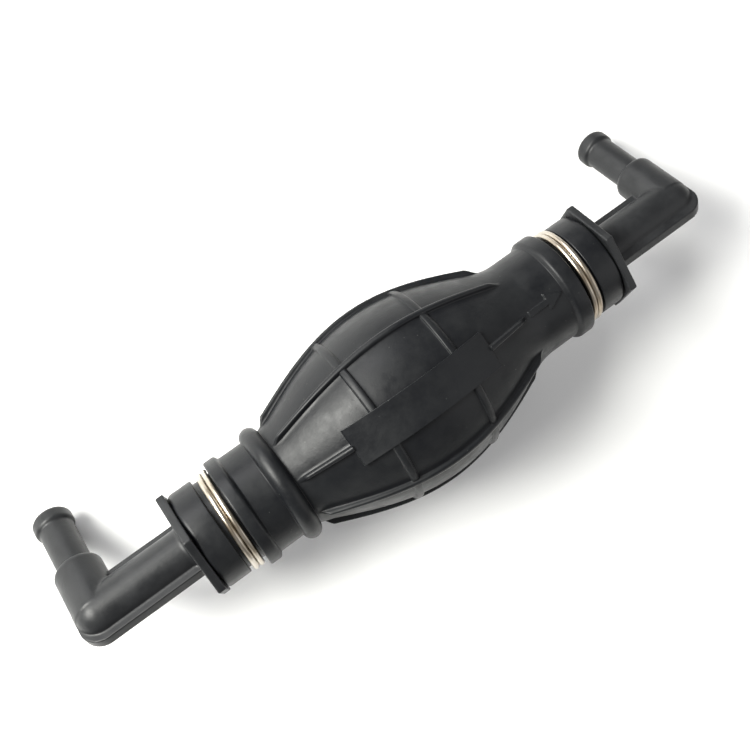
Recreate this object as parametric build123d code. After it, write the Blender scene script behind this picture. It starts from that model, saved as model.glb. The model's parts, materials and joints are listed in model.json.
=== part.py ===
from build123d import *
import os
from math import cos, pi, radians, sin, sqrt

# Siphon bulb pump: a ribbed rubber squeeze bulb with an elbowed hose fitting and a one-way
# valve in each neck. Liquid flows towards +X. Millimetres.
#
# Everything is drawn with the pump's axis on X and both hose nipples pointing along +Y, then
# settle() lays the pump down the way it rests: the bulb and both nipple tips touch the table.
# Angles round the axis are counted from the nipples (+Y) towards +Z.

# ---- bulb ---------------------------------------------------------------------------------
BELLY_HALF = 38.5        # half-length of the swollen middle
NECK_R = 15.3            # outside of the necks
BELLY_RISE = 11.5        # how far the belly stands out above the necks
NECK_BORE_R = 12.0       # inside of the necks
CAVITY_RISE = 12.1       # how far the chamber swells beyond the neck bore
NECK_END = 69.5          # end face of each neck, from the middle of the bulb
BELLY_LAW = (-35, 33)    # the belly follows its arch between these places
FLARE_END = 43.0         # where the outlet neck becomes straight
INLET_SLOPE = 0.4        # slope of the belly where it leaves the step bead
COLLAR_R = 14.85         # end collar, between the clamp groove and the flange
COLLAR_ROUND = 1.3
GROOVE_R = 13.6          # floor of the clamp groove
GROOVE = (56.7, 62.0)    # clamp groove, near and far side
BEAD_R = 16.6            # bead beside each clamp groove
INLET_BEAD = (52.3, 56.7)
OUTLET_BEAD = (51.0, 56.7)
STEP_BEAD_R = 17.9       # large bead where the inlet neck meets the belly
STEP_BEAD = (39.5, 45.2)

RIB_COUNT = 8            # ribs that run along the belly
RIB_WIDTH = 2.0
RIB_HEIGHT = 1.5         # in the middle of the belly
RIB_GAIN = 0.6           # how much taller they are near their ends
RIB_ENDS = (-38.3, 37.3) # here they have sunk into the belly
RIB_SINK = 0.2           # how deep their ends lie
RIB_FADE = 14            # power law of the fall to the ends
RIB_ROOT = 1.0           # how far ribs reach into the wall
RING_X = 13.3            # two ribs that run round the belly
RING_WIDTH = 2.3
RING_HEIGHT = 1.0
RING_FOOT = 0.1          # how far a ring's sides start below the belly's surface

PAD_ANGLE = 135          # the grip pad and the flow arrow sit on this rib
PAD_HALF_LENGTH = 22.9
PAD_HALF_WIDTH = 5.4
PAD_HEIGHT = 0.8         # along its middle; its face is flat across
PAD_SINK = 0.1           # how far the pad's underside lies below the belly's surface
PAD_GAP = 0.1            # gap under and round the pad

ARROW_X = (39.0, 45.5, 51.0)     # tail, back of the head, point
ARROW_HALF_WIDTHS = (0.95, 2.6)  # shaft, head
ARROW_HEIGHT = 0.5

# ---- wire clamps --------------------------------------------------------------------------
WIRE_R = 0.85
CLAMP_TURNS = 1.9
CLAMP_X = 59.35          # middle of each clamp
CLAMP_PITCH = 1.74

# ---- elbow fittings -----------------------------------------------------------------------
FLANGE = (69.6, 72.0)    # hexagonal flange
FLANGE_FLATS = 30.2
SPIGOT_R = 11.95         # the part of the fitting that sits in the rubber neck
SPIGOT_END = 50.6
BARB_X = 100.25          # hose nipple axis
TUBE_R = 6.7             # horizontal tube
TUBE_BORE_R = 4.6
ROOT_ROUND = 1.6         # fillet where the tube leaves the flange
PLATE_END = 107.2        # welding plate round the tube
PLATE_HALF_WIDTH = 8.9
PLATE_CORNER = 6.4
BASE_LAYER = (-0.45, 2.0)
COVER_LAYER = (-1.3, -0.45)
BOSS_R = 6.9
BOSS_TOP = 16.6
BOSS_ROUND = 1.8
NIPPLE_R = 5.0
NIPPLE_BORE_R = 3.3
NIPPLE_TIP = 36.4
TIP_BEAD_R = 5.75
TIP_BEAD = (31.6, 32.8, 34.8)    # foot, start and end of the cylindrical land
TIP_BEAD_RAMP = (0.22, 0.45)     # middle of its back: below the land, past the foot
TIP_BEAD_NOSE = (0.33, 1.05)     # middle of its nose: below the land, past the land's end
TIP_FACE_R = 4.5
FLANGE_CHAMFER = 0.3
SPIGOT_CHAMFER = 0.5

# ---- one-way valves -----------------------------------------------------------------------
CHAMBER_R = 10.3         # valve chamber inside the spigot
CHAMBER_END = 66.0
SEAT_LENGTH = 3.0
CARTRIDGE_R = 10.2       # seat and cage
ORING_R = 0.55
ORING_TRACK_R = 9.7
GROOVE_PLAY = 0.05       # play beside the O-ring in its groove
FACE_GAP = 0.05          # closed poppet to seat
SEAL_THICKNESS = 0.6
SEAL_INSET = 0.3         # how far the seal stays inside the poppet's rim
TOUCH_GAP = 0.02         # between parts that are drawn touching
POPPET_NOSE_R = 4.85
POPPET_R = 6.6
POPPET_THICKNESS = 1.35
STEM_R = 1.2
STEM_CLEARANCE = 0.05
CAGE_START = 11.7
CAGE_THICKNESS = 2.5
CAGE_RIM_R = 8.8
CAGE_HUB_R = 2.4
CAGE_ARMS = 3
CAGE_ARM_WIDTH = 1.6
ARM_SET_BACK = 0.5       # arms start this far behind the cage's face and reach into its rim
STEM_END = 13.7
SPRING_WIRE_R = 0.25
SPRING_R = 2.6
SPRING_TURNS = 5
SPRING_GAP = 0.03        # between the end turns and what they press on

INLET_SEAT_X = -CHAMBER_END
OUTLET_SEAT_X = CHAMBER_END - CAGE_START - CAGE_THICKNESS


def belly_radius(x, neck=NECK_R, rise=BELLY_RISE):
    """Radius of the belly, a cosine arch that stands on the necks."""
    return neck + rise * cos(pi * x / (2 * BELLY_HALF))


def arch_points(first, last, steps, raise_by=0.0):
    """Points along the belly's outline, raised by a distance or by a function of x."""
    points = []
    for i in range(steps + 1):
        x = first + (last - first) * i / steps
        lift = raise_by(x) if callable(raise_by) else raise_by
        points.append((x, belly_radius(x) + lift))
    return points


def turned(edges):
    """A solid turned about the pump's axis from a closed outline."""
    return revolve(make_face(Wire(edges)), Axis.X)


def rod(radius, start, end, axis="X"):
    """A cylinder along an axis, from one place on it to another."""
    length = end - start
    turn = {"X": Rot(0, 90, 0), "Y": Rot(-90, 0, 0)}[axis]
    place = {"X": Pos(start, 0, 0), "Y": Pos(0, start, 0)}[axis]
    lie_flat = Cylinder(radius, length, align=(Align.CENTER, Align.CENTER, Align.MIN))
    return place * turn * lie_flat


def slab(x, y, z):
    """A box between pairs of limits."""
    size = Box(x[1] - x[0], y[1] - y[0], z[1] - z[0], align=(Align.MIN,) * 3)
    return Pos(x[0], y[0], z[0]) * size


def collar_outline(side):
    """Neck end, from the groove out to the bore: the same at both ends, mirrored by side."""
    far = side * NECK_END
    shoulder = COLLAR_ROUND * (1 - sqrt(0.5))
    corner_x = far - side * COLLAR_ROUND
    corner_mid = (far - side * shoulder, COLLAR_R - shoulder)
    groove_x = side * GROOVE[1]
    return [
        Line((groove_x, GROOVE_R), (groove_x, COLLAR_R)),
        Line((groove_x, COLLAR_R), (corner_x, COLLAR_R)),
        ThreePointArc((corner_x, COLLAR_R), corner_mid, (far, COLLAR_R - COLLAR_ROUND)),
        Line((far, COLLAR_R - COLLAR_ROUND), (far, NECK_BORE_R)),
    ]


def bead(near, far, top, side):
    """Rounded bead on a neck, standing between two places."""
    middle = side * (near + far) / 2
    return ThreePointArc((side * near, NECK_R), (middle, top), (side * far, NECK_R))


def bulb_shell():
    """Neck, belly and neck in one hollow piece."""
    edges = []
    for (near, far), side in ((INLET_BEAD, -1), (OUTLET_BEAD, 1)):
        edges += collar_outline(side)
        edges.append(bead(near, far, BEAD_R, side))
        edges.append(Line((side * far, NECK_R), (side * far, GROOVE_R)))
        edges.append(Line((side * far, GROOVE_R), (side * GROOVE[1], GROOVE_R)))
    edges.append(Line((-INLET_BEAD[0], NECK_R), (-STEP_BEAD[1], NECK_R)))
    edges.append(bead(*STEP_BEAD, STEP_BEAD_R, -1))
    flare = [(-STEP_BEAD[0], NECK_R)] + arch_points(*BELLY_LAW, 17) + [(FLARE_END, NECK_R)]
    edges.append(Spline(flare, tangents=[(1, INLET_SLOPE), (1, 0)]))
    edges.append(Line((FLARE_END, NECK_R), (OUTLET_BEAD[0], NECK_R)))

    cavity = [(-BELLY_HALF + BELLY_HALF * i / 8) for i in range(17)]
    cavity = [(x, belly_radius(x, NECK_BORE_R, CAVITY_RISE)) for x in cavity]
    edges.append(Line((-NECK_END, NECK_BORE_R), cavity[0]))
    edges.append(Spline(cavity))
    edges.append(Line(cavity[-1], (NECK_END, NECK_BORE_R)))
    return turned(edges)


def long_rib():
    """One rib along the belly, at +Y: a little taller towards its ends, where it drops into the belly."""
    def lift(x):
        along = x / RIB_ENDS[0 if x < 0 else 1]
        drop = RIB_HEIGHT + RIB_GAIN + RIB_SINK
        return RIB_HEIGHT + RIB_GAIN * along ** 2 - drop * along ** RIB_FADE

    top = arch_points(*RIB_ENDS, 36, lift)
    root = arch_points(*RIB_ENDS, 12, -RIB_ROOT)
    outline = Wire([
        Spline(top),
        Line(top[-1], root[-1]),
        Spline(root),
        Line(root[0], top[0]),
    ])
    return extrude(make_face(outline), RIB_WIDTH / 2, both=True)


def ring_rib(x):
    """One rib round the belly."""
    low, high = x - RING_WIDTH / 2, x + RING_WIDTH / 2
    root = belly_radius(x) - RIB_ROOT
    foot = [belly_radius(low) - RING_FOOT, belly_radius(high) - RING_FOOT]
    crest = (x, belly_radius(x) + RING_HEIGHT)
    return turned([
        Line((low, root), (low, foot[0])),
        ThreePointArc((low, foot[0]), crest, (high, foot[1])),
        Line((high, foot[1]), (high, root)),
        Line((high, root), (low, root)),
    ])


def flow_arrow():
    """Raised arrow on the outlet neck that points along the flow."""
    tail, back, point = ARROW_X
    shaft, head = ARROW_HALF_WIDTHS
    outline = Polyline(
        (tail, -shaft), (back, -shaft), (back, -head), (point, 0),
        (back, head), (back, shaft), (tail, shaft), close=True)
    prism = extrude(make_face(outline), 2 * NECK_R)
    skin = rod(NECK_R + ARROW_HEIGHT, tail - 1, point + 1) - rod(NECK_BORE_R + 1, tail - 2, point + 2)
    return Rot(PAD_ANGLE - 90, 0, 0) * (prism & skin)


def pad_zone(bottom, top, grow=0.0):
    """The space over the pad's footprint: round underneath, like the belly, and flat across its face."""
    half = PAD_HALF_LENGTH + grow
    reach = half + 2
    low = arch_points(-reach, reach, 12, bottom)
    high = arch_points(-half, half, 12, top)
    core = turned([
        Line((-reach, 0), low[0]),
        Spline(low),
        Line(low[-1], (reach, 0)),
        Line((reach, 0), (-reach, 0)),
    ])
    outline = Wire([
        Line((-half, 0), high[0]),
        Spline(high),
        Line(high[-1], (half, 0)),
        Line((half, 0), (-half, 0)),
    ])
    prism = extrude(make_face(outline), PAD_HALF_WIDTH + grow, both=True)
    return Rot(PAD_ANGLE, 0, 0) * (prism - core)


def bulb():
    body = bulb_shell()
    for i in range(RIB_COUNT):
        body += Rot(i * 360 / RIB_COUNT, 0, 0) * long_rib()
    for x in (-RING_X, RING_X):
        body += ring_rib(x)
    body += flow_arrow()
    return body - pad_zone(-PAD_SINK - PAD_GAP, PAD_HEIGHT + RIB_HEIGHT + RIB_GAIN, PAD_GAP)


def grip_pad():
    return pad_zone(-PAD_SINK, PAD_HEIGHT)


def wire_clamp(side):
    """About two turns of round spring wire, lying in the groove."""
    track_r = GROOVE_R + WIRE_R + TOUCH_GAP
    height = CLAMP_TURNS * CLAMP_PITCH
    coil = Helix(CLAMP_PITCH, height, track_r)
    section = Plane(coil @ 0, z_dir=coil % 0) * Circle(WIRE_R)
    wire = sweep(section, coil)
    return Pos(side * CLAMP_X - height / 2, 0, 0) * Rot(0, 90, 0) * wire


# ---- elbow fitting: drawn for the outlet, with its cover towards -Z ------------------------

def fitting_skin():
    """Outside of the hollow elbow: tube, rounded end and boss."""
    boss = rod(BOSS_R, 0, BOSS_TOP, "Y")
    boss = fillet(boss.edges().group_by(Axis.Y)[-1], BOSS_ROUND)
    foot = turned([
        Line((FLANGE[1] - 0.5, 0), (FLANGE[1] - 0.5, TUBE_R + ROOT_ROUND)),
        Line((FLANGE[1] - 0.5, TUBE_R + ROOT_ROUND), (FLANGE[1], TUBE_R + ROOT_ROUND)),
        RadiusArc((FLANGE[1], TUBE_R + ROOT_ROUND), (FLANGE[1] + ROOT_ROUND, TUBE_R), -ROOT_ROUND),
        Line((FLANGE[1] + ROOT_ROUND, TUBE_R), (FLANGE[1] + ROOT_ROUND, 0)),
        Line((FLANGE[1] + ROOT_ROUND, 0), (FLANGE[1] - 0.5, 0)),
    ])
    end = Pos(BARB_X, 0, 0) * Sphere(TUBE_R)
    return foot + rod(TUBE_R, FLANGE[1], BARB_X) + end + Pos(BARB_X, 0, 0) * boss


def fitting_bore():
    """Liquid path of the elbow: chamber, tube and nipple."""
    end = Pos(BARB_X, 0, 0) * Sphere(TUBE_BORE_R)
    nipple = Pos(BARB_X, 0, 0) * rod(NIPPLE_BORE_R, 0, NIPPLE_TIP + 1, "Y")
    chamber = rod(CHAMBER_R, SPIGOT_END - 1, CHAMBER_END)
    return chamber + rod(TUBE_BORE_R, SPIGOT_END, BARB_X) + end + nipple


def plate(layer):
    """One layer of the welding plate, with its two free corners rounded."""
    length = PLATE_END - FLANGE[1]
    middle = (PLATE_END + FLANGE[1]) / 2
    blank = Pos(middle, 0, layer[0]) * Box(
        length, 2 * PLATE_HALF_WIDTH, layer[1] - layer[0],
        align=(Align.CENTER, Align.CENTER, Align.MIN))
    free_corners = blank.edges().filter_by(Axis.Z).group_by(Axis.X)[-1]
    return fillet(free_corners, PLATE_CORNER)


def cover_space():
    """Where the cover lies: one side of the weld line, up to the plate's edge."""
    return slab((FLANGE[1], PLATE_END + 5), (-20, PLATE_HALF_WIDTH), (-20, COVER_LAYER[1]))


def nipple():
    """Hose nipple with a rounded bead at its tip."""
    foot, land, land_end = TIP_BEAD
    ramp, nose = TIP_BEAD_RAMP, TIP_BEAD_NOSE
    root = PLATE_HALF_WIDTH
    outline = [
        Line((0, root), (NIPPLE_R, root)),
        Line((NIPPLE_R, root), (NIPPLE_R, foot)),
        ThreePointArc((NIPPLE_R, foot), (TIP_BEAD_R - ramp[0], foot + ramp[1]), (TIP_BEAD_R, land)),
        Line((TIP_BEAD_R, land), (TIP_BEAD_R, land_end)),
        ThreePointArc((TIP_BEAD_R, land_end), (TIP_BEAD_R - nose[0], land_end + nose[1]),
                      (TIP_FACE_R, NIPPLE_TIP)),
        Line((TIP_FACE_R, NIPPLE_TIP), (0, NIPPLE_TIP)),
        Line((0, NIPPLE_TIP), (0, root)),
    ]
    return Pos(BARB_X, 0, 0) * revolve(make_face(Wire(outline)), Axis.Y)


def elbow():
    hexagon = RegularPolygon(FLANGE_FLATS / 2, 6, major_radius=False, rotation=90)
    to_axis = Plane(origin=(FLANGE[0], 0, 0), x_dir=(0, 0, 1), z_dir=(1, 0, 0))
    flange = extrude(to_axis * hexagon, FLANGE[1] - FLANGE[0])
    flange = chamfer(flange.edges().group_by(Axis.X)[-1], FLANGE_CHAMFER)
    spigot = rod(SPIGOT_R, SPIGOT_END, FLANGE[0])
    spigot = chamfer(spigot.edges().group_by(Axis.X)[0], SPIGOT_CHAMFER)
    body = fitting_skin() - cover_space()
    return flange + spigot + body + plate(BASE_LAYER) + nipple() - fitting_bore()


def cover():
    body = fitting_skin() & cover_space()
    return body + plate(COVER_LAYER) - fitting_bore()


# ---- valve cartridge: seat, poppet, spring and cage, drawn from x = 0 towards +X ------------

def valve_seat():
    ring = rod(CARTRIDGE_R, 0, SEAT_LENGTH) - rod(TUBE_BORE_R, -1, SEAT_LENGTH + 1)
    middle = SEAT_LENGTH / 2
    half = ORING_R + GROOVE_PLAY
    groove = rod(CARTRIDGE_R + 1, middle - half, middle + half)
    return ring - (groove - rod(ORING_TRACK_R - ORING_R, 0, SEAT_LENGTH))


def seat_oring():
    return Pos(SEAT_LENGTH / 2, 0, 0) * Rot(0, 90, 0) * Torus(ORING_TRACK_R, ORING_R)


def poppet():
    face = SEAT_LENGTH + FACE_GAP
    disc = face + SEAL_THICKNESS
    nose = rod(POPPET_NOSE_R, face, disc)
    head = rod(POPPET_R, disc, disc + POPPET_THICKNESS)
    return nose + head + rod(STEM_R, disc, STEM_END)


def poppet_seal():
    face = SEAT_LENGTH + FACE_GAP
    ring = rod(POPPET_R - SEAL_INSET, face, face + SEAL_THICKNESS)
    return ring - rod(POPPET_NOSE_R + TOUCH_GAP, 0, CAGE_START)


def valve_spring():
    wire_room = SPRING_WIRE_R + SPRING_GAP
    start = SEAT_LENGTH + FACE_GAP + SEAL_THICKNESS + POPPET_THICKNESS + wire_room
    height = CAGE_START - start - wire_room
    coil = Helix(height / SPRING_TURNS, height, SPRING_R)
    section = Plane(coil @ 0, z_dir=coil % 0) * Circle(SPRING_WIRE_R)
    return Pos(start, 0, 0) * Rot(0, 90, 0) * sweep(section, coil)


def valve_cage():
    end = CAGE_START + CAGE_THICKNESS
    rim = rod(CARTRIDGE_R, CAGE_START, end) - rod(CAGE_RIM_R, 0, end + 1)
    body = rim + rod(CAGE_HUB_R, CAGE_START, end)
    half = CAGE_ARM_WIDTH / 2
    for i in range(CAGE_ARMS):
        arm = slab((CAGE_START + ARM_SET_BACK, end), (0, CAGE_RIM_R + ARM_SET_BACK), (-half, half))
        body += Rot(i * 360 / CAGE_ARMS, 0, 0) * arm
    return body - rod(STEM_R + STEM_CLEARANCE, 0, end + 1)


# ---- laying the pump down -------------------------------------------------------------------

def rest_tilt():
    """How far the nipples dip below level when a rib and both tips touch the table."""
    rib_top = belly_radius(0) + RIB_HEIGHT
    below, past = TIP_BEAD_NOSE
    tip_points = ((TIP_BEAD[2], TIP_BEAD_R), (TIP_BEAD[2] + past, TIP_BEAD_R - below))
    low, high = 20.0, 60.0
    for _ in range(40):
        tilt = (low + high) / 2
        dip = radians(tilt)
        tip = max(y * sin(dip) + r * cos(dip) for y, r in tip_points)
        belly = rib_top * cos(dip - radians(360 / RIB_COUNT))
        low, high = (tilt, high) if tip < belly else (low, tilt)
    return tilt


def settle(pieces):
    """Tip the pump on to its side and put its origin on the table, under its middle."""
    lay = Rot(-rest_tilt(), 0, 0)
    laid = {name: lay * solid for name, solid in pieces.items()}
    box = Compound(children=[Compound(s.solids()) for s in laid.values()]).bounding_box()
    shift = Pos(-box.center().X, -box.center().Y, -box.min.Z)
    return {name: shift * solid for name, solid in laid.items()}


pieces = {"bulb": bulb(), "grip_pad": grip_pad()}
ends = {"inlet": (-1, Rot(0, 180, 0), INLET_SEAT_X), "outlet": (1, Rot(0, 0, 0), OUTLET_SEAT_X)}
cartridge = {
    "valve_seat": valve_seat,
    "seat_oring": seat_oring,
    "poppet": poppet,
    "poppet_seal": poppet_seal,
    "valve_spring": valve_spring,
    "valve_cage": valve_cage,
}
for end, (side, turn, seat_x) in ends.items():
    pieces[f"{end}_elbow"] = turn * elbow()
    pieces[f"{end}_cover"] = turn * cover()
    pieces[f"{end}_clamp"] = wire_clamp(side)
    for name, make in cartridge.items():
        pieces[f"{end}_{name}"] = Pos(seat_x, 0, 0) * make()

os.makedirs("parts", exist_ok=True)
for name, solid in settle(pieces).items():
    export_step(solid, f"parts/{name}.step")
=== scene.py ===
import json
import math

import bmesh
import bpy
import numpy as np
from mathutils import Matrix, Vector


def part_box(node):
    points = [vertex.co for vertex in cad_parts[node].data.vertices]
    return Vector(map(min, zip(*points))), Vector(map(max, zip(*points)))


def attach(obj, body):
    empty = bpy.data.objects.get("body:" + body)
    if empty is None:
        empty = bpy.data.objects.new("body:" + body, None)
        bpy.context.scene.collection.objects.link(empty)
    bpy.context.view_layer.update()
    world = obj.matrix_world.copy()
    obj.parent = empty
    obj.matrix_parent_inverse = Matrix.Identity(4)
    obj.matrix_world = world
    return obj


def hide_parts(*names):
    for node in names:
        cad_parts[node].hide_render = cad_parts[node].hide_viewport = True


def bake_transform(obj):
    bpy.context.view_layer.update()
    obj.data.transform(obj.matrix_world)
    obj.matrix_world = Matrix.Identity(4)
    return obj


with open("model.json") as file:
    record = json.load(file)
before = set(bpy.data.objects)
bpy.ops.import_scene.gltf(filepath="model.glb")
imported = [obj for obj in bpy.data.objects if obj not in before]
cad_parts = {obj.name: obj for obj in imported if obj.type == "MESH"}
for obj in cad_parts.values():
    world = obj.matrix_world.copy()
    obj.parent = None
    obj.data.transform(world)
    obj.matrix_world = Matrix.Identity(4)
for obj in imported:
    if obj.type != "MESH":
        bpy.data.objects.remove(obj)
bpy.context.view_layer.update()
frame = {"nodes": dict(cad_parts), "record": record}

# Siphon bulb pump. Shapes are worked out in millimetres with the pump's axis on X and both
# nipples along +Y, the way the CAD draws it, and then laid down with LAY.

MM = 0.001
record = frame["record"]
mounts = {m["name"]: m for m in record["mounts"]}
nipple_axis = Vector(mounts["outlet_nipple"]["axis"])
swivel = next(j for j in record["behaviour"]["joints"] if j["name"] == "outlet_swivel")
axis_place = Vector(swivel["pos_m"])
tilt = math.atan2(-nipple_axis.z, nipple_axis.y)
LAY = Matrix.Translation(axis_place) @ Matrix.Rotation(-tilt, 4, "X") @ Matrix.Scale(MM, 4)

# ---- sizes, in millimetres --------------------------------------------------------------------
# The main sizes are the CAD's, or within half a millimetre of them. Edges, fillets, fades and the
# seam are the looks' own.

BELLY_HALF = 38.5
NECK_R = 15.3
BELLY_RISE = 11.5
NECK_BORE_R = 12.0
CAVITY_RISE = 12.1
NECK_END = 69.5
COLLAR_R = 14.85
GROOVE_R = 13.6
GROOVE = (56.7, 62.0)
BEAD_R = 16.6
INLET_BEAD = 52.4
OUTLET_BEAD = 51.4
STEP_BEAD_R = 17.9
STEP_BEAD = (39.5, 45.2)
BELLY_LAW = (-35, 33)      # the belly follows its arch between these places
FLARE_END = 43.0           # where the outlet neck becomes straight
INLET_SLOPE = 0.4          # slope of the belly where it leaves the step bead
COLLAR_ROUND = 1.4
BEAD_ROUND = 0.6
COLLAR_EDGE_ROUND = 0.4
GROOVE_ROUND = 0.2

RIBS = 8
RIB_HALF_WIDTH = 1.0
RIB_HEIGHT = 1.5
RIB_GAIN = 0.6             # how much taller the ribs are near their ends
INLET_FADE = (36.3, 38.7)  # the ribs sink into the belly between these places
OUTLET_FADE = (34.4, 38.2)
RING_X = 13.3
RING_HALF_WIDTH = 1.15
RING_HEIGHT = 0.95
RIB_ROOT = (0.22, 1.1)     # height and reach of the fillet at a rib's foot
RING_ROOT = (0.12, 0.8)
BAR_SHOULDER = 3.5         # power laws of a rib's or ring's rounded cross-section
BAR_SIDE = 1 / 3

PAD_ANGLE = 135
PAD_HALF_LENGTH = 22.9
PAD_HALF_WIDTH = 5.4
PAD_HEIGHT = 0.8
PAD_EDGE = 0.12            # width of the pad's soft edge
PAD_REACH = 45             # degrees to either side that belong to the pad and the arrow

ARROW_X = (39.0, 45.5, 51.0)     # tail, back of the head, point
ARROW_HALF_WIDTHS = (0.95, 2.6)  # shaft, head
ARROW_HEIGHT = 0.5
ARROW_EDGE = (-0.22, 0.08)       # its soft edge, inside and outside the outline
ARROW_OVERLAP = 0.5              # how far the shaft runs into the head

FLANGE_FACE = 72.0
PLATE_END = 107.2
PLATE_HALF_WIDTH = 8.9
PLATE_CORNER = 6.4
SEAM_Z = -0.45             # where the plate's two layers meet
SEAM_DEPTH = 0.3
SEAM_HALF_GAP = 0.09
SEAM_START = 0.4           # how far from the flange the seam starts
SEAM_BOSS_X = 92.8         # the seam on the nipple's side stops here, before the boss
SEAM_BOSS_Y = 1.6          # and on the plate's end here
COVER_BOX_START = -20      # the box that parts cover and elbow starts here, clear of the fitting
FITTING_VOXEL = 0.28
SOFTENING_STEPS = 3
KEPT_FACES = 0.4           # share of the remeshed faces that stays
SHARP_ANGLE = 50

WIRE_R = 0.85
CLAMP_TURNS = 1.9
CLAMP_X = 59.35
CLAMP_PITCH = 1.74
CLAMP_GAP = 0.02           # between the wire and the groove's floor
SPRING_R = 2.6
SPRING_WIRE_R = 0.25
SPRING_TURNS = 5
WIRE_STEPS_PER_TURN = 200

# ---- how finely the bulb's skin is drawn ------------------------------------------------------
CORNER_STEPS = 5
CORNER_SHARE = 0.48        # a rounded corner takes at most this share of either side
STEP_BEAD_STEPS = 18
BELLY_ROWS = (-39.3, 38.6)  # first and last row of the belly
BELLY_STEPS = (0.55, 0.1)  # coarse, and close to a ring's sides
RING_SIDE_REACH = 0.42
ARROW_ROWS = (38.75, 51.1)
ARROW_STEP = 0.16
CAVITY_STEPS = 24
SPREAD_LAW = 1.3           # columns grow apart by this power law, away from a rib or the pad


# ---- materials ----------------------------------------------------------------------------------

class Nodes:
    """A short hand for building a node material."""

    def __init__(self, name):
        self.material = bpy.data.materials.new(name)
        self.material.use_nodes = True
        self.tree = self.material.node_tree
        self.shader = self.tree.nodes["Principled BSDF"]
        self.place = self.tree.nodes.new("ShaderNodeTexCoord").outputs["Object"]

    def add(self, kind, inputs=(), **settings):
        node = self.tree.nodes.new(kind)
        for key, value in settings.items():
            setattr(node, key, value)
        for key, value in dict(inputs).items():
            if isinstance(value, bpy.types.NodeSocket):
                self.tree.links.new(value, node.inputs[key])
            else:
                node.inputs[key].default_value = value
        return node

    def noise(self, scale, detail=3.0, roughness=0.5):
        inputs = {"Vector": self.place, "Scale": scale, "Detail": detail, "Roughness": roughness}
        return self.add("ShaderNodeTexNoise", inputs).outputs["Fac"]

    def remap(self, value, low, high, to_low, to_high):
        """Straight-line change of a value's range, held at its ends."""
        inputs = {"Value": value, "From Min": low, "From Max": high, "To Min": to_low, "To Max": to_high}
        return self.add("ShaderNodeMapRange", inputs, clamp=True).outputs["Result"]

    def blend(self, factor, first, second):
        """From the first colour, or colour socket, where factor is 0 to the second where it is 1."""
        mix = self.add("ShaderNodeMix", {0: factor}, data_type="RGBA")
        sockets = [s for s in mix.inputs if s.type == "RGBA"]
        for socket, colour in zip(sockets, (first, second)):
            if isinstance(colour, bpy.types.NodeSocket):
                self.tree.links.new(colour, socket)
            else:
                socket.default_value = (*colour, 1.0)
        return next(s for s in mix.outputs if s.type == "RGBA")

    def bump(self, height, distance, strength=1.0, under=None):
        inputs = {"Height": height, "Distance": distance, "Strength": strength}
        if under is not None:
            inputs["Normal"] = under
        return self.add("ShaderNodeBump", inputs).outputs["Normal"]

    def set(self, **values):
        for key, value in values.items():
            socket = self.shader.inputs[key.replace("_", " ")]
            if isinstance(value, bpy.types.NodeSocket):
                self.tree.links.new(value, socket)
            else:
                socket.default_value = value
        return self.material


def rubber():
    """Moulded black rubber: satin, a little cloudy, with fine dust."""
    n = Nodes("bulb_rubber_look")
    cloud = n.remap(n.noise(55, 7, 0.68), 0.38, 0.72, 0, 1)
    colour = n.blend(cloud, (0.0042, 0.0047, 0.0060), (0.0105, 0.0112, 0.0122))
    dust = n.add("ShaderNodeTexVoronoi", {"Vector": n.place, "Scale": 420.0}).outputs["Distance"]
    patches = n.remap(n.noise(90, 2), 0.52, 0.62, 0, 1)
    speck = n.remap(dust, 0.05, 0.09, 1, 0)
    speck = n.add("ShaderNodeMath", {0: speck, 1: patches}, operation="MULTIPLY").outputs[0]
    colour = n.blend(speck, colour, (0.05, 0.053, 0.05))
    wide = n.bump(n.noise(120, 4, 0.6), 0.00025, 0.5)
    grain = n.bump(n.noise(2200, 2), 0.00004, 0.4, wide)
    rough = n.remap(n.noise(110, 7, 0.7), 0.36, 0.64, 0.33, 0.50)
    return n.set(Base_Color=colour, Roughness=rough, Normal=grain, Specular_IOR_Level=0.26)


def moulded_plastic(name, dark, light, rough):
    """Satin moulded plastic with a faint orange-peel surface and uneven gloss."""
    n = Nodes(name)
    cloud = n.remap(n.noise(80, 6, 0.66), 0.36, 0.68, 0, 1)
    colour = n.blend(cloud, dark, light)
    peel = n.bump(n.noise(700, 3), 0.00009, 0.5)
    fine = n.bump(n.noise(2400, 2), 0.00004, 0.4, peel)
    gloss = n.remap(n.noise(160, 6, 0.7), 0.36, 0.64, rough[0], rough[1])
    return n.set(Base_Color=colour, Roughness=gloss, Normal=fine, Specular_IOR_Level=0.32)


def drawn_steel(name, bright, tarnished, rough):
    """Bright drawn wire, a little tarnished in places."""
    n = Nodes(name)
    tarnish = n.remap(n.noise(85, 3, 0.6), 0.42, 0.66, 0, 1)
    colour = n.blend(tarnish, bright, tarnished)
    gloss = n.remap(n.noise(150, 3), 0.3, 0.7, rough[0], rough[1])
    return n.set(Base_Color=colour, Metallic=1.0, Roughness=gloss)


def matt_rubber():
    n = Nodes("seal_rubber_look")
    cloud = n.remap(n.noise(300, 2), 0.3, 0.7, 0, 1)
    colour = n.blend(cloud, (0.015, 0.015, 0.015), (0.03, 0.03, 0.03))
    return n.set(Base_Color=colour, Roughness=0.6, Normal=n.bump(n.noise(2500, 2), 0.00003, 0.4))


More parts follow.
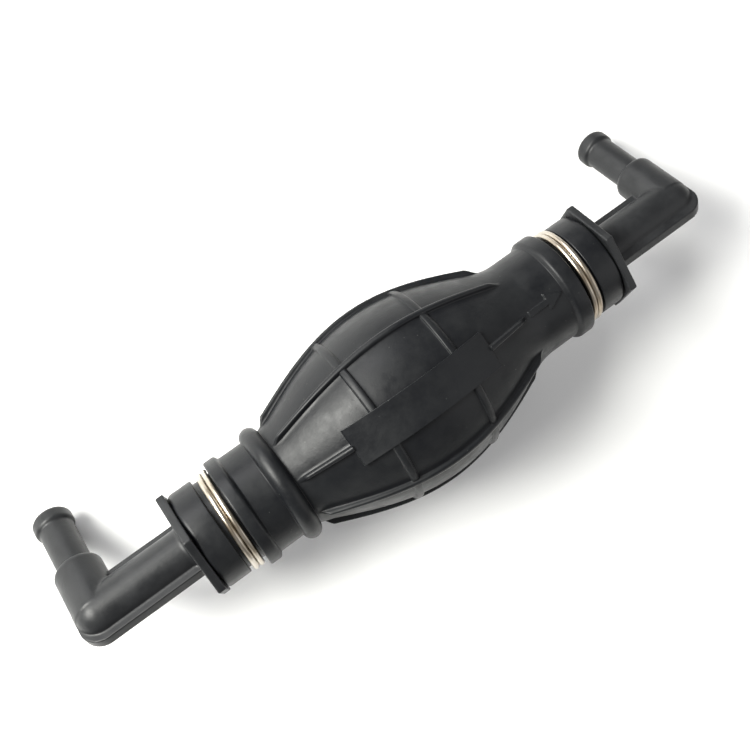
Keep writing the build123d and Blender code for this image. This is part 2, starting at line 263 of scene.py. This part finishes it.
LOOKS = {
    "bulb_rubber": rubber(),
    "fitting_plastic": moulded_plastic(
        "fitting_plastic_look", (0.008, 0.0085, 0.0095), (0.0150, 0.0157, 0.0170), (0.36, 0.50)),
    "clamp_steel": drawn_steel(
        "clamp_steel_look", (0.52, 0.48, 0.42), (0.33, 0.27, 0.20), (0.29, 0.36)),
    "valve_acetal": moulded_plastic(
        "valve_acetal_look", (0.70, 0.70, 0.65), (0.78, 0.78, 0.73), (0.35, 0.5)),
    "seal_rubber": matt_rubber(),
    "spring_steel": drawn_steel(
        "spring_steel_look", (0.62, 0.62, 0.62), (0.52, 0.51, 0.49), (0.2, 0.32)),
}


# ---- meshes -------------------------------------------------------------------------------------

def new_object(name, vertices, faces):
    """A smooth-shaded mesh object with the given points in millimetres of the drawing frame."""
    mesh = bpy.data.meshes.new(name)
    mesh.from_pydata([tuple(v) for v in vertices], [], faces)
    mesh.transform(LAY)
    mesh.update()
    mesh.shade_smooth()
    obj = bpy.data.objects.new(name, mesh)
    bpy.context.scene.collection.objects.link(obj)
    return obj


def finish_piece(obj, slot):
    obj.data.materials.clear()
    obj.data.materials.append(LOOKS[slot])
    return obj


def smooth_step(value, low, high):
    """0 below low, 1 above high, smooth between."""
    t = np.clip((value - low) / (high - low), 0, 1)
    return t * t * (3 - 2 * t)


def rounded(corners):
    """A polyline of (x, r, radius) corners, each rounded to about its radius."""
    points = []
    for i, (x, r, radius) in enumerate(corners):
        here = np.array((x, r), float)
        if radius == 0 or i in (0, len(corners) - 1):
            points.append(here)
            continue
        back = np.array(corners[i - 1][:2]) - here
        on = np.array(corners[i + 1][:2]) - here
        back_length, on_length = np.linalg.norm(back), np.linalg.norm(on)
        start = here + back / back_length * min(radius, CORNER_SHARE * back_length)
        end = here + on / on_length * min(radius, CORNER_SHARE * on_length)
        for k in range(CORNER_STEPS + 1):
            t = k / CORNER_STEPS
            points.append((1 - t) ** 2 * start + 2 * t * (1 - t) * here + t * t * end)
    return points


def half_round(first, last, base, top, steps):
    """Points of an arc that stands on a level base between two places."""
    half, rise = abs(last - first) / 2, top - base
    radius = (half * half + rise * rise) / (2 * rise)
    middle = (first + last) / 2
    sweep = math.asin(half / radius) if rise <= radius else math.pi - math.asin(half / radius)
    direction = 1 if last > first else -1
    turns = [sweep * (2 * k / steps - 1) for k in range(steps + 1)]
    return [np.array((middle + direction * radius * math.sin(t), top - radius * (1 - math.cos(t))))
            for t in turns]


def arch(x):
    return NECK_R + BELLY_RISE * math.cos(math.pi * x / (2 * BELLY_HALF))


def belly_radius(x):
    """The belly's outline: a cosine arch with an easy run on to each neck."""
    low, high = BELLY_LAW
    if low <= x <= high:
        return arch(x)
    near, far = (high, FLARE_END) if x > high else (low, -STEP_BEAD[0])
    if abs(x) >= abs(far):
        return NECK_R
    span = far - near
    t = (x - near) / span
    slope = -BELLY_RISE * math.pi / (2 * BELLY_HALF) * math.sin(math.pi * near / (2 * BELLY_HALF))
    end_slope = 0.0 if x > high else INLET_SLOPE
    return (arch(near) * (2 * t ** 3 - 3 * t ** 2 + 1) + slope * span * (t ** 3 - 2 * t ** 2 + t)
            + NECK_R * (3 * t ** 2 - 2 * t ** 3) + end_slope * span * (t ** 3 - t ** 2))


def spread(start, end, coarse, fine, places, reach):
    """Positions from start to end, close together near some places."""
    x = start
    found = [start]
    while x < end:
        near = min((abs(x - p) for p in places), default=reach)
        x += fine if near < reach else coarse
        found.append(min(x, end))
    return found


# ---- the bulb -----------------------------------------------------------------------------------

def bulb_outline():
    """(x, r) from the inlet bore's mouth over the outside to the outlet bore's mouth and back inside."""
    near, far = GROOVE
    inlet = rounded([
        (-NECK_END, NECK_BORE_R, 0), (-NECK_END, COLLAR_R, COLLAR_ROUND),
        (-far, COLLAR_R, COLLAR_EDGE_ROUND), (-far, GROOVE_R, GROOVE_ROUND),
        (-near, GROOVE_R, GROOVE_ROUND), (-near, BEAD_R, BEAD_ROUND),
        (-INLET_BEAD - 0.8, BEAD_R, BEAD_ROUND), (-INLET_BEAD, NECK_R, 0.25),
        (-STEP_BEAD[1] - 0.2, NECK_R, 0),
    ])
    inlet += half_round(-STEP_BEAD[1], -STEP_BEAD[0], NECK_R, STEP_BEAD_R, STEP_BEAD_STEPS)
    places = [s * p for s in (-1, 1) for p in (RING_X - RING_HALF_WIDTH, RING_X + RING_HALF_WIDTH)]
    dense = spread(*BELLY_ROWS, *BELLY_STEPS, places, RING_SIDE_REACH)
    pad_end = (-PAD_EDGE, -PAD_EDGE / 2, 0, PAD_EDGE / 3)
    dense += [s * (PAD_HALF_LENGTH + d) for s in (-1, 1) for d in pad_end]
    belly = [(x, belly_radius(x)) for x in sorted(set(round(x, 3) for x in dense))]
    arrow_rows = spread(*ARROW_ROWS, ARROW_STEP, ARROW_STEP, (), 0)
    arrow = [(x, belly_radius(x)) for x in arrow_rows]
    outlet = rounded([
        (OUTLET_BEAD - 0.2, NECK_R, 0), (OUTLET_BEAD, NECK_R, 0.2),
        (OUTLET_BEAD + 1.0, BEAD_R, BEAD_ROUND), (near, BEAD_R, BEAD_ROUND),
        (near, GROOVE_R, GROOVE_ROUND), (far, GROOVE_R, GROOVE_ROUND),
        (far, COLLAR_R, COLLAR_EDGE_ROUND), (NECK_END, COLLAR_R, COLLAR_ROUND),
        (NECK_END, NECK_BORE_R, 0),
    ])
    inside = []
    for i in range(1, CAVITY_STEPS):
        x = BELLY_HALF * math.cos(math.pi * i / CAVITY_STEPS)
        inside.append((x, NECK_BORE_R + CAVITY_RISE * math.cos(math.pi * x / (2 * BELLY_HALF))))
    outside = [tuple(p) for p in inlet] + belly + arrow + [tuple(p) for p in outlet]
    return outside + inside, len(inside)


def flank_places(half):
    """Distances across a raised bar that draw its rounded shoulders and steep sides."""
    return [half * t for t in (0, 0.35, 0.6, 0.75, 0.86, 0.93, 0.97, 1.0, 1.05, 1.2, 1.45)]


def plain_sector():
    """Angles of the columns round one rib, out to half way to its neighbours."""
    reach = 180 / RIBS
    rib = [math.degrees(d / arch(0)) for d in flank_places(RIB_HALF_WIDTH)]
    start = rib[-1]
    rest = [start + (reach - start) * (k / 8) ** SPREAD_LAW for k in range(1, 8)]
    one = rib[1:] + rest
    return sorted([0.0] + one + [-a for a in one])


def pad_sector():
    """Places across the pad's sector, where 1 is the pad's edge and 2 the sector's end."""
    rib = [d / PAD_HALF_WIDTH for d in flank_places(RIB_HALF_WIDTH)]
    face = [rib[-1] + (1 - rib[-1]) * k / 16 for k in range(1, 16)]
    past = 1.008  # just outside the pad's edge
    edge = [1 - PAD_EDGE / PAD_HALF_WIDTH, 1 - PAD_EDGE / PAD_HALF_WIDTH / 2, 1, past]
    rest = [past + (2 - past) * (k / 9) ** SPREAD_LAW for k in range(1, 9)]
    one = rib[1:] + face + edge + rest
    return sorted([0.0] + one + [-a for a in one])


def pad_sector_angle(place, x, r):
    """Degrees from the pad's middle for a place across its sector, at one cross-section."""
    at = r if abs(x) < PAD_HALF_LENGTH else belly_radius(PAD_HALF_LENGTH)
    side = abs(place)
    if side <= 1:
        angle = math.degrees(math.asin(side * PAD_HALF_WIDTH / at))
    else:
        edge = math.degrees(math.asin(PAD_HALF_WIDTH / at))
        angle = edge + (180 / RIBS - edge) * (side - 1)
    return math.copysign(angle, place)


def bar(distance, half):
    """Height of a raised bar with rounded shoulders, from 1 on its middle to 0 at its sides."""
    t = np.clip(np.abs(distance) / half, 0, 1)
    return (1 - t ** BAR_SHOULDER) ** BAR_SIDE


def root(distance, half, size):
    """The hollow fillet beside a bar, with its height at the bar and its reach."""
    height, reach = size
    t = np.clip((np.abs(distance) - half) / reach, 0, 1)
    return height * (1 - t) ** 2


def raised(x, off_rib, off_pad, radius):
    """How far the ribs, rings, pad and arrow stand out at places on the outside."""
    fade = np.where(x < 0, 1 - smooth_step(-x, *INLET_FADE), 1 - smooth_step(x, *OUTLET_FADE))
    tall = (RIB_HEIGHT + RIB_GAIN * (x / OUTLET_FADE[1]) ** 2) * fade
    across = np.radians(off_rib) * arch(0)
    along = np.abs(x) - RING_X
    rib = np.maximum(
        tall * bar(across, RIB_HALF_WIDTH), fade * root(across, RIB_HALF_WIDTH, RIB_ROOT))
    ring = np.maximum(
        RING_HEIGHT * bar(along, RING_HALF_WIDTH), root(along, RING_HALF_WIDTH, RING_ROOT))
    height = np.maximum(rib, ring)

    facing = np.abs(off_pad) < PAD_REACH
    turn = np.radians(np.clip(off_pad, -PAD_REACH, PAD_REACH))
    sideways = np.sin(turn) * radius
    edge = np.maximum(np.abs(x) - PAD_HALF_LENGTH, np.abs(sideways) - PAD_HALF_WIDTH)
    inside = (1 - smooth_step(edge, -PAD_EDGE, 0)) * facing
    flat = (radius + PAD_HEIGHT) / np.cos(turn) - radius
    height = height * (1 - inside) + flat * inside

    tail, back, point = ARROW_X
    shaft, head = ARROW_HALF_WIDTHS
    side = np.abs(sideways)
    shaft_edge = np.maximum(np.maximum(tail - x, x - back - ARROW_OVERLAP), side - shaft)
    slope = head / (point - back)
    head_edge = np.maximum(back - x, (side - (point - x) * slope) / math.hypot(1, slope))
    arrow_edge = np.minimum(shaft_edge, head_edge)
    arrow = ARROW_HEIGHT * (1 - smooth_step(arrow_edge, *ARROW_EDGE)) * facing
    return height + arrow * (x > tail - 1)


def make_bulb():
    """The whole rubber moulding, with the pad: one closed skin of rows along the axis."""
    outline, inside_rows = bulb_outline()
    step = 360 / RIBS
    plain = np.array(plain_sector())
    across = pad_sector()
    pad_rib = round(PAD_ANGLE / step)
    rows = []
    for x, r in outline:
        angles = []
        for i in range(RIBS):
            if i == pad_rib:
                angles += [PAD_ANGLE + pad_sector_angle(p, x, r) for p in across]
            else:
                angles += list(i * step + plain)
        rows.append(angles)
    a = np.array(rows)
    x = np.array([p[0] for p in outline])[:, None] + 0 * a
    r = np.array([p[1] for p in outline])[:, None] + 0 * a
    off_rib = (a + step / 2) % step - step / 2
    off_pad = (a - PAD_ANGLE + 180) % 360 - 180
    lift = raised(x, off_rib, off_pad, r)
    lift[len(outline) - inside_rows:] = 0
    lift[(x < -INLET_FADE[1]) | (x > ARROW_ROWS[1])] = 0
    radius = r + lift
    radians = np.radians(a)
    points = np.stack([x, radius * np.cos(radians), radius * np.sin(radians)], axis=-1).reshape(-1, 3)
    count, columns = a.shape
    faces = []
    for i in range(count):
        for j in range(columns):
            k, m = (i + 1) % count, (j + 1) % columns
            faces.append((i * columns + j, k * columns + j, k * columns + m, i * columns + m))
    return new_object("bulb_moulding", points, faces)


bulb = finish_piece(make_bulb(), "bulb_rubber")
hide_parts("bulb", "grip_pad")

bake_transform(bulb)


# ---- wire clamps and valve springs ----------------------------------------------------------------

def coil(name, first_x, last_x, track, wire, turns, sides):
    """Round wire wound about the pump's axis between two places."""
    steps = round(WIRE_STEPS_PER_TURN * turns)
    path = []
    for i in range(steps + 1):
        turn = 2 * math.pi * turns * i / steps
        x = first_x + (last_x - first_x) * i / steps
        path.append((x, track * math.cos(turn), -track * math.sin(turn)))
    path = np.array(path)
    points, faces = [], []
    for i, p in enumerate(path):
        ahead = path[min(i + 1, steps)] - path[max(i - 1, 0)]
        ahead /= np.linalg.norm(ahead)
        outward = np.array((0, p[1], p[2])) / track
        across = np.cross(ahead, outward)
        for k in range(sides):
            turn = 2 * math.pi * k / sides
            points.append(p + wire * (math.cos(turn) * outward + math.sin(turn) * across))
    for i in range(steps):
        for k in range(sides):
            m = (k + 1) % sides
            faces.append((i * sides + k, i * sides + m, (i + 1) * sides + m, (i + 1) * sides + k))
    faces.append(tuple(range(sides - 1, -1, -1)))
    faces.append(tuple(steps * sides + k for k in range(sides)))
    return new_object(name, points, faces)


def make_clamp(end, side):
    """Wire wound about twice round the neck's groove."""
    half = CLAMP_TURNS * CLAMP_PITCH / 2
    middle = side * CLAMP_X
    track = GROOVE_R + WIRE_R + CLAMP_GAP
    wire = coil(f"{end}_wire", middle - half, middle + half, track, WIRE_R, CLAMP_TURNS, 20)
    finish_piece(wire, "clamp_steel")
    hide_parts(f"{end}_clamp")
    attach(wire, "bulb_body")


def make_spring(end):
    """A valve spring between the cage and the poppet, drawn at one fixed length."""
    low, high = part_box(f"{end}_valve_spring")
    first, last = low[0] / MM + SPRING_WIRE_R, high[0] / MM - SPRING_WIRE_R
    spring = coil(f"{end}_spring_wire", first, last, SPRING_R, SPRING_WIRE_R, SPRING_TURNS, 10)
    finish_piece(spring, "spring_steel")
    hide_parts(f"{end}_valve_spring")
    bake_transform(spring)


for side, end in ((-1, "inlet"), (1, "outlet")):
    make_clamp(end, side)
    make_spring(end)


# ---- moulded fittings: the CAD shape with the soft edges of a moulding --------------------------

def cad_copy(node, name):
    """A closed, welded copy of a CAD node's shape."""
    mesh = frame["nodes"][node].data.copy()
    obj = bpy.data.objects.new(name, mesh)
    bpy.context.scene.collection.objects.link(obj)
    cleaned = bmesh.new()
    cleaned.from_mesh(mesh)
    bmesh.ops.remove_doubles(cleaned, verts=cleaned.verts, dist=1e-6)
    cleaned.to_mesh(mesh)
    cleaned.free()
    return obj


def settle_mesh(obj):
    """Applies an object's modifiers to its mesh."""
    bpy.context.view_layer.update()
    evaluated = obj.evaluated_get(bpy.context.evaluated_depsgraph_get())
    final = bpy.data.meshes.new_from_object(evaluated)
    obj.modifiers.clear()
    obj.data = final


def carve(obj, tool, operation):
    """Joins, cuts or keeps the common part of two closed meshes."""
    change = obj.modifiers.new("carve", "BOOLEAN")
    change.operation = operation
    change.solver = "EXACT"
    change.object = tool
    settle_mesh(obj)


def seam_strip(path, outward):
    """A thin strip along a stretch of the plate's edge, which cuts the seam between its two layers."""
    points = []
    for (x, y), (u, v) in zip(path, outward):
        for depth in (-SEAM_DEPTH, 1.0):
            for z in (SEAM_Z - SEAM_HALF_GAP, SEAM_Z + SEAM_HALF_GAP):
                points.append((x + u * depth, y + v * depth, z))
    faces = [(0, 1, 3, 2)]
    last = 4 * (len(path) - 1)
    faces.append((last, last + 2, last + 3, last + 1))
    for i in range(len(path) - 1):
        k = 4 * i
        for a, b in ((0, 2), (2, 3), (3, 1), (1, 0)):
            faces.append((k + a, k + b, k + b + 4, k + a + 4))
    return new_object("seam_strip", points, faces)


def seam_strips():
    """The two strips: the plate's side away from the nipple with its round corner, and the near side."""
    start = FLANGE_FACE + SEAM_START
    corner_x, corner_y = PLATE_END - PLATE_CORNER, -PLATE_HALF_WIDTH + PLATE_CORNER
    path = [(start, -PLATE_HALF_WIDTH)]
    outward = [(0, -1)]
    for i in range(13):
        turn = math.pi / 2 * i / 12
        u, v = math.sin(turn), -math.cos(turn)
        path.append((corner_x + PLATE_CORNER * u, corner_y + PLATE_CORNER * v))
        outward.append((u, v))
    path.append((PLATE_END, SEAM_BOSS_Y))
    outward.append((1, 0))
    far = seam_strip(path, outward)
    near = seam_strip([(SEAM_BOSS_X, PLATE_HALF_WIDTH), (start, PLATE_HALF_WIDTH)], [(0, 1), (0, 1)])
    return far, near


def box_tool(x, y, z):
    """A closed box between pairs of limits."""
    corners = [(x[i], y[j], z[k]) for i in (0, 1) for j in (0, 1) for k in (0, 1)]
    faces = [(0, 1, 3, 2), (4, 6, 7, 5), (0, 4, 5, 1), (2, 3, 7, 6), (0, 2, 6, 4), (1, 5, 7, 3)]
    return new_object("cover_space", corners, faces)


def make_fitting():
    """The outlet elbow and its cover: one soft-edged moulding, split along the weld."""
    whole = cad_copy("outlet_elbow", "outlet_elbow_moulding")
    lid = cad_copy("outlet_cover", "outlet_cover_moulding")
    carve(whole, lid, "UNION")
    remesh = whole.modifiers.new("remesh", "REMESH")
    remesh.mode = "VOXEL"
    remesh.voxel_size = FITTING_VOXEL * MM
    soft = whole.modifiers.new("soft", "SMOOTH")
    soft.iterations = SOFTENING_STEPS
    fewer = whole.modifiers.new("fewer", "DECIMATE")
    fewer.ratio = KEPT_FACES
    settle_mesh(whole)
    tools = list(seam_strips())
    for strip in tools:
        carve(whole, strip, "DIFFERENCE")
    space = box_tool(
        (FLANGE_FACE, PLATE_END + 5), (COVER_BOX_START, PLATE_HALF_WIDTH), (COVER_BOX_START, SEAM_Z))
    tools.append(space)
    lid.data = whole.data.copy()
    carve(lid, space, "INTERSECT")
    carve(whole, space, "DIFFERENCE")
    for tool in tools:
        bpy.data.objects.remove(tool)
    return whole, lid


def turned_copy(obj, name):
    """The same moulding turned half a turn about the nipples' direction, for the inlet."""
    mesh = obj.data.copy()
    mesh.transform(LAY @ Matrix.Rotation(math.pi, 4, "Y") @ LAY.inverted())
    copy = bpy.data.objects.new(name, mesh)
    bpy.context.scene.collection.objects.link(copy)
    return copy


outlet_elbow, outlet_cover = make_fitting()
mouldings = {
    "outlet_elbow": outlet_elbow,
    "outlet_cover": outlet_cover,
    "inlet_elbow": turned_copy(outlet_elbow, "inlet_elbow_moulding"),
    "inlet_cover": turned_copy(outlet_cover, "inlet_cover_moulding"),
}
for node, piece in mouldings.items():
    piece.data.shade_smooth()
    piece.data.set_sharp_from_angle(angle=math.radians(SHARP_ANGLE))
    finish_piece(piece, "fitting_plastic")
    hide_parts(node)
    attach(piece, node.split("_")[0] + "_fitting")


# ---- the other valve parts keep their CAD shapes --------------------------------------------------

slots = {s["node"]: s["material_slot"] for s in record["subparts"]}
shown_by_pieces = {"bulb", "grip_pad"} | {
    f"{end}_{part}" for end in ("inlet", "outlet")
    for part in ("elbow", "cover", "clamp", "valve_spring")}
for node, obj in frame["nodes"].items():
    if node in shown_by_pieces:
        continue
    look = LOOKS[slots[node]]
    for index in range(max(1, len(obj.material_slots))):
        if obj.material_slots:
            obj.material_slots[index].material = look


# ---- floor, light and camera ------------------------------------------------------------------------

def make_floor():
    half = 3.0
    mesh = bpy.data.meshes.new("floor")
    corners = [(-half, -half, 0), (half, -half, 0), (half, half, 0), (-half, half, 0)]
    mesh.from_pydata(corners, [], [(0, 1, 2, 3)])
    obj = bpy.data.objects.new("floor", mesh)
    bpy.context.scene.collection.objects.link(obj)
    n = Nodes("floor_look")
    shade = n.blend(n.remap(n.noise(6, 2), 0.3, 0.7, 0, 1), (0.93, 0.93, 0.93), (0.95, 0.95, 0.95))
    obj.data.materials.append(n.set(Base_Color=shade, Roughness=0.9, Specular_IOR_Level=0.1))


def make_light(name, place, target, size, watts, colour=(1, 1, 1)):
    data = bpy.data.lights.new(name, "AREA")
    data.shape = "RECTANGLE"
    data.size, data.size_y = size
    data.energy = watts
    data.color = colour
    obj = bpy.data.objects.new(name, data)
    obj.location = place
    obj.rotation_euler = (Vector(target) - Vector(place)).to_track_quat("-Z", "Y").to_euler()
    bpy.context.scene.collection.objects.link(obj)


# Metres, in the frame of the part at rest.
CAMERA_PLACE = Vector((-0.0533, 0.0392, 0.3419))
CAMERA_FORWARD = Vector((0.2073, -0.0489, -0.9771))
CAMERA_RIGHT = Vector((0.8026, -0.5626, 0.1985))
LENS = 54.1
SHIFT = (-0.023, -0.104)
WORLD_STRENGTH = 0.32


def make_camera():
    data = bpy.data.cameras.new("camera")
    data.sensor_width = 36
    data.lens = LENS
    data.shift_x, data.shift_y = SHIFT
    data.clip_start = 0.01
    data.dof.use_dof = False
    obj = bpy.data.objects.new("camera", data)
    back = -CAMERA_FORWARD.normalized()
    right = (CAMERA_RIGHT - back * CAMERA_RIGHT.dot(back)).normalized()
    up = back.cross(right)
    turn = Matrix((right, up, back)).transposed().to_4x4()
    obj.matrix_world = Matrix.Translation(CAMERA_PLACE) @ turn
    bpy.context.scene.collection.objects.link(obj)
    bpy.context.scene.camera = obj


make_floor()
make_light("key", (-0.44, 0.35, 0.47), (0, 0, 0.03), (0.38, 0.38), 13, (1, 1, 0.95))
make_light("side", (0.60, -0.50, 0.60), (0, 0, 0), (0.8, 0.8), 2)
make_light("back", (-0.10, 0.80, 0.45), (0, 0, 0), (0.5, 0.4), 4)
make_camera()

world = bpy.data.worlds.new("world")
world.use_nodes = True
background = world.node_tree.nodes["Background"]
background.inputs["Color"].default_value = (1, 1, 1, 1)
background.inputs["Strength"].default_value = WORLD_STRENGTH
bpy.context.scene.world = world
bpy.context.scene.view_settings.view_transform = "Standard"
